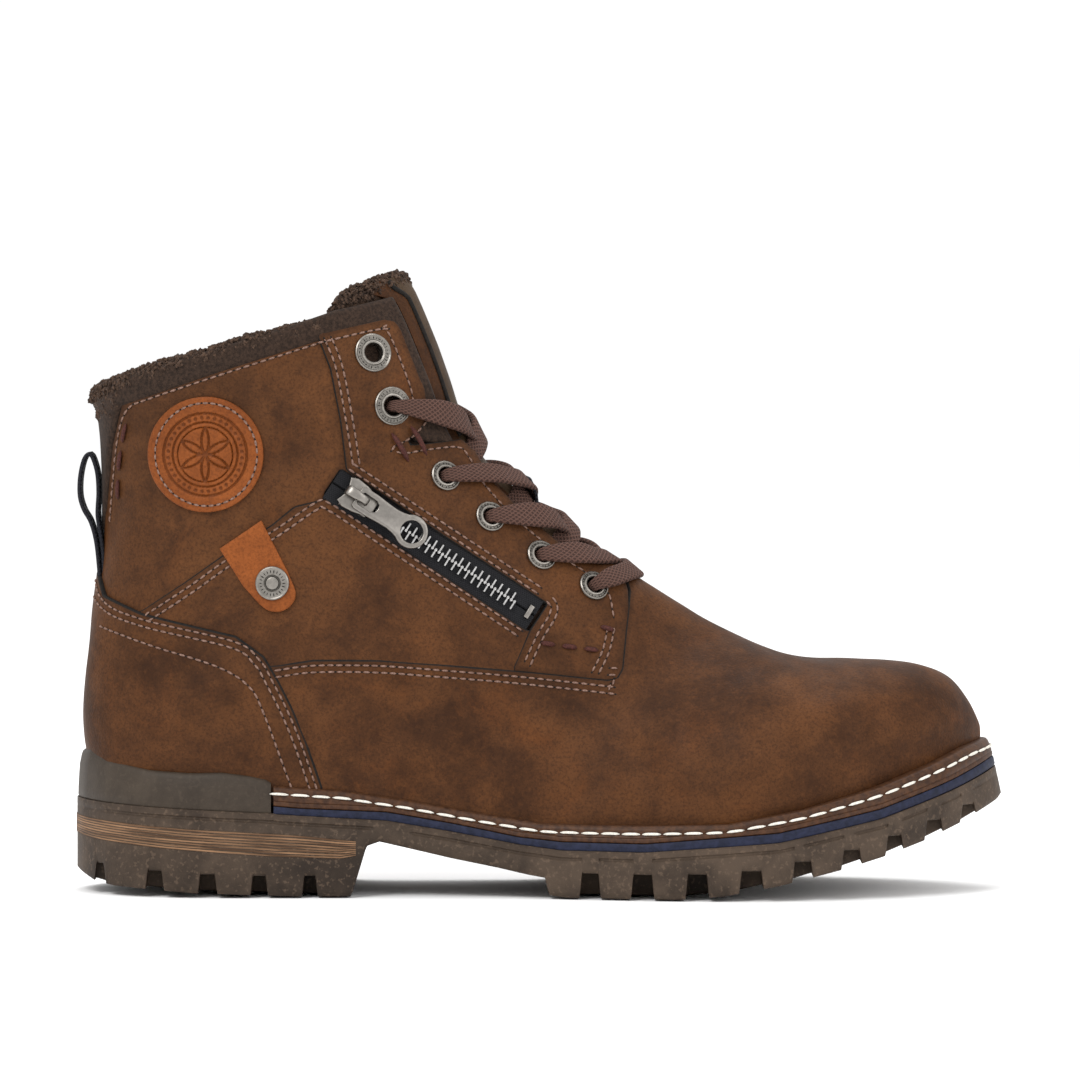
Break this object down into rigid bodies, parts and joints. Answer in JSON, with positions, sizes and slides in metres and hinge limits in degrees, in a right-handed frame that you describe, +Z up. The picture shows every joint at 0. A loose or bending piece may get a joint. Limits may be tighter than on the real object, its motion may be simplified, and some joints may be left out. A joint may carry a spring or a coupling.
{
  "type": "ankle boot",
  "caption": "Warm-lined lace-up leather ankle boot for the right foot, with a lugged sole, a padded collar, a hinged tongue top and a working zip slider on its outer side",
  "frame": {"origin": "middle of the boot's outline in plan, on the floor it stands on", "axes": "+X to the toe, +Z up, -Y to the outer side of the right foot"},
  "size_m": [0.31, 0.109, 0.2058],
  "materials": {
    "upper_leather": "waxy nubuck, mottled",
    "cognac_leather": "smooth, embossed",
    "felt": "dense felt",
    "fleece": "curly pile",
    "insulation_foam": "soft wadding",
    "stiffener": "impregnated board",
    "insole_fibre": "fibre board",
    "shank_steel": "plain steel",
    "outsole_rubber": "moulded, fine speckle",
    "midsole_navy": "matte",
    "welt_brown": "matte",
    "stack_wood_look": "fine layered stripes",
    "webbing_black": "woven",
    "antique_metal": "antique silver",
    "lace_cotton": "flat braid",
    "aglet_plastic": "smooth"
  },
  "bodies": {
    "boot": {"vamp": "upper_leather", "heel_counter": "upper_leather", "eyestay_lateral": "upper_leather", "ankle_panel_lateral": "upper_leather", "side_panel_lateral": "upper_leather", "eyestay_medial": "upper_leather", "ankle_panel_medial": "upper_leather", "side_panel_medial": "upper_leather", "eyelet_lateral_1": "antique_metal", "eyelet_lateral_2": "antique_metal", "eyelet_lateral_3": "antique_metal", "eyelet_lateral_4": "antique_metal", "eyelet_lateral_5": "antique_metal", "eyelet_lateral_6": "antique_metal", "eyelet_medial_1": "antique_metal", "eyelet_medial_2": "antique_metal", "eyelet_medial_3": "antique_metal", "eyelet_medial_4": "antique_metal", "eyelet_medial_5": "antique_metal", "eyelet_medial_6": "antique_metal", "collar_band": "felt", "insulation": "insulation_foam", "toe_puff": "stiffener", "heel_stiffener": "stiffener", "lining": "fleece", "tongue_lower": "upper_leather", "outsole": "outsole_rubber", "heel_stack_band": "stack_wood_look", "shank": "shank_steel", "midsole": "midsole_navy", "welt": "welt_brown", "heel_cup": "outsole_rubber", "insole_board": "insole_fibre", "footbed": "insulation_foam", "zip_tape_upper": "webbing_black", "zip_teeth_upper": "antique_metal", "zip_tape_lower": "webbing_black", "zip_teeth_lower": "antique_metal", "zip_end_stop": "antique_metal", "round_patch": "cognac_leather", "leather_tab": "cognac_leather", "rivet": "antique_metal", "lace": "lace_cotton", "lace_keeper": "webbing_black", "lace_tail_lateral": "lace_cotton", "aglet_lateral": "aglet_plastic", "lace_tail_medial": "lace_cotton", "aglet_medial": "aglet_plastic"},
    "slider": {"zip_slider": "antique_metal"},
    "puller": {"zip_pull": "antique_metal"},
    "tongue": {"tongue_top": "upper_leather"},
    "loop": {"pull_loop": "webbing_black"}
  },
  "joints": [
    {"name": "zip_slide", "type": "slide", "parent": "boot", "child": "slider", "axis": [0.8296, 0.086, -0.5517], "range_m": [0, 0.042]},
    {"name": "puller_hinge", "type": "hinge", "parent": "slider", "child": "puller", "pos_m": [-0.05947, -0.03777, 0.13139], "axis": [-0.5232, -0.2241, -0.8223], "range_deg": [0, 110]},
    {"name": "tongue_fold", "type": "hinge", "parent": "boot", "child": "tongue", "pos_m": [-0.034, 0.001, 0.1644], "axis": [0, 1, 0], "range_deg": [0, 25]},
    {"name": "loop_hinge", "type": "hinge", "parent": "boot", "child": "loop", "pos_m": [-0.1505, 0.001, 0.1065], "axis": [0, -1, 0], "range_deg": [0, 60]}
  ]
}
